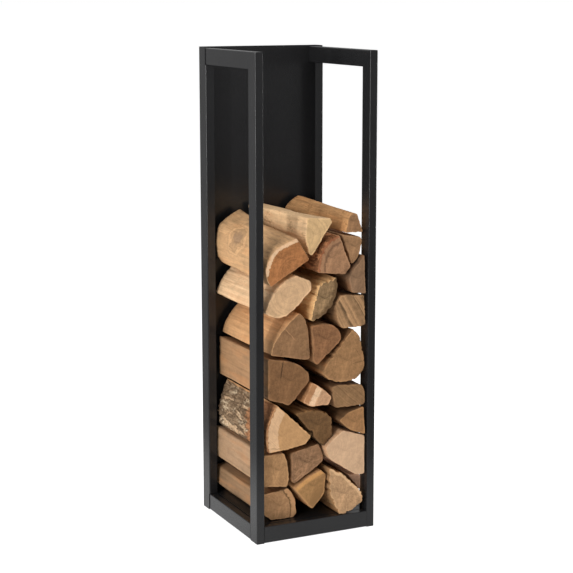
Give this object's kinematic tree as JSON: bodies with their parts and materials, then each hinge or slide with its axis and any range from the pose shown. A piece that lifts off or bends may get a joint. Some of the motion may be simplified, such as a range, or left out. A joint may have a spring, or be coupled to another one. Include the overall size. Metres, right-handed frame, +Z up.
{
  "type": "firewood log rack",
  "caption": "Tall narrow firewood rack: black steel tube frame with open front, sides and top, a folded sheet back and a floor tray, filled with loose split logs.",
  "frame": {"origin": "on the ground, under the middle of the rack's footprint", "axes": "+Z up, the open front faces -Y, the back panel is at +Y, +X to the right seen from the front"},
  "size_m": [0.32, 0.33, 1.17],
  "materials": {
    "black_powder_coat": "satin black powder coat with a fine texture",
    "black_screws": "black oxide",
    "zinc_plated_steel": "bright zinc plate",
    "black_plastic": "matte black polyethylene",
    "split_wood_pale": "raw split hardwood, dry",
    "split_wood_tan": "raw split hardwood, dry",
    "split_wood_brown": "raw split hardwood, dry",
    "split_wood_pink": "raw split hardwood, dry"
  },
  "bodies": {
    "rack": {"back_panel": "black_powder_coat", "front_upright_left": "black_powder_coat", "front_upright_right": "black_powder_coat", "top_rail_left": "black_powder_coat", "top_rail_right": "black_powder_coat", "bottom_rail_left": "black_powder_coat", "bottom_rail_right": "black_powder_coat", "front_bottom_rail": "black_powder_coat", "floor_tray": "black_powder_coat", "foot_plug_left": "black_plastic", "foot_plug_right": "black_plastic", "rail_end_blocks": "zinc_plated_steel", "back_panel_screws": "black_screws", "clinch_nuts": "zinc_plated_steel", "rivet_nuts": "zinc_plated_steel", "floor_tray_screws": "zinc_plated_steel"},
    "log_01": {"log_01": "split_wood_tan"},
    "log_02": {"log_02": "split_wood_tan"},
    "log_03": {"log_03": "split_wood_tan"},
    "log_04": {"log_04": "split_wood_pink"},
    "log_05": {"log_05": "split_wood_tan"},
    "log_06": {"log_06": "split_wood_brown"},
    "log_07": {"log_07": "split_wood_pink"},
    "log_08": {"log_08": "split_wood_tan"},
    "log_09": {"log_09": "split_wood_brown"},
    "log_10": {"log_10": "split_wood_brown"},
    "log_11": {"log_11": "split_wood_brown"},
    "log_12": {"log_12": "split_wood_pale"},
    "log_13": {"log_13": "split_wood_tan"},
    "log_14": {"log_14": "split_wood_brown"},
    "log_15": {"log_15": "split_wood_brown"},
    "log_16": {"log_16": "split_wood_tan"},
    "log_17": {"log_17": "split_wood_pale"},
    "log_18": {"log_18": "split_wood_tan"},
    "log_19": {"log_19": "split_wood_brown"},
    "log_20": {"log_20": "split_wood_brown"},
    "log_21": {"log_21": "split_wood_brown"},
    "log_22": {"log_22": "split_wood_brown"},
    "log_23": {"log_23": "split_wood_tan"},
    "log_24": {"log_24": "split_wood_pale"},
    "log_25": {"log_25": "split_wood_tan"}
  },
  "joints": [
    {"name": "log_01_slide", "type": "slide", "parent": "rack", "child": "log_01", "axis": [0, -1, 0], "range_m": [0, 0.34]},
    {"name": "log_02_slide", "type": "slide", "parent": "rack", "child": "log_02", "axis": [0, -1, 0], "range_m": [0, 0.34]},
    {"name": "log_03_slide", "type": "slide", "parent": "rack", "child": "log_03", "axis": [0, -1, 0], "range_m": [0, 0.34]},
    {"name": "log_04_slide", "type": "slide", "parent": "rack", "child": "log_04", "axis": [0, -1, 0], "range_m": [0, 0.34]},
    {"name": "log_05_slide", "type": "slide", "parent": "rack", "child": "log_05", "axis": [0, -1, 0], "range_m": [0, 0.34]},
    {"name": "log_06_slide", "type": "slide", "parent": "rack", "child": "log_06", "axis": [0, -1, 0], "range_m": [0, 0.34]},
    {"name": "log_07_slide", "type": "slide", "parent": "rack", "child": "log_07", "axis": [0, -1, 0], "range_m": [0, 0.34]},
    {"name": "log_08_slide", "type": "slide", "parent": "rack", "child": "log_08", "axis": [0, -1, 0], "range_m": [0, 0.34]},
    {"name": "log_09_slide", "type": "slide", "parent": "rack", "child": "log_09", "axis": [0, -1, 0], "range_m": [0, 0.34]},
    {"name": "log_10_slide", "type": "slide", "parent": "rack", "child": "log_10", "axis": [0, -1, 0], "range_m": [0, 0.34]},
    {"name": "log_11_slide", "type": "slide", "parent": "rack", "child": "log_11", "axis": [0, -1, 0], "range_m": [0, 0.34]},
    {"name": "log_12_slide", "type": "slide", "parent": "rack", "child": "log_12", "axis": [0, -1, 0], "range_m": [0, 0.34]},
    {"name": "log_13_slide", "type": "slide", "parent": "rack", "child": "log_13", "axis": [0, -1, 0], "range_m": [0, 0.34]},
    {"name": "log_14_slide", "type": "slide", "parent": "rack", "child": "log_14", "axis": [0, -1, 0], "range_m": [0, 0.34]},
    {"name": "log_15_slide", "type": "slide", "parent": "rack", "child": "log_15", "axis": [0, -1, 0], "range_m": [0, 0.34]},
    {"name": "log_16_slide", "type": "slide", "parent": "rack", "child": "log_16", "axis": [0, -1, 0], "range_m": [0, 0.34]},
    {"name": "log_17_slide", "type": "slide", "parent": "rack", "child": "log_17", "axis": [0, -1, 0], "range_m": [0, 0.34]},
    {"name": "log_18_slide", "type": "slide", "parent": "rack", "child": "log_18", "axis": [0, -1, 0], "range_m": [0, 0.34]},
    {"name": "log_19_slide", "type": "slide", "parent": "rack", "child": "log_19", "axis": [0, -1, 0], "range_m": [0, 0.34]},
    {"name": "log_20_slide", "type": "slide", "parent": "rack", "child": "log_20", "axis": [0, -1, 0], "range_m": [0, 0.34]},
    {"name": "log_21_slide", "type": "slide", "parent": "rack", "child": "log_21", "axis": [0, -1, 0], "range_m": [0, 0.34]},
    {"name": "log_22_slide", "type": "slide", "parent": "rack", "child": "log_22", "axis": [0, -1, 0], "range_m": [0, 0.34]},
    {"name": "log_23_slide", "type": "slide", "parent": "rack", "child": "log_23", "axis": [0, -1, 0], "range_m": [0, 0.34]},
    {"name": "log_24_slide", "type": "slide", "parent": "rack", "child": "log_24", "axis": [0, -1, 0], "range_m": [0, 0.34]},
    {"name": "log_25_slide", "type": "slide", "parent": "rack", "child": "log_25", "axis": [0, -1, 0], "range_m": [0, 0.34]}
  ]
}
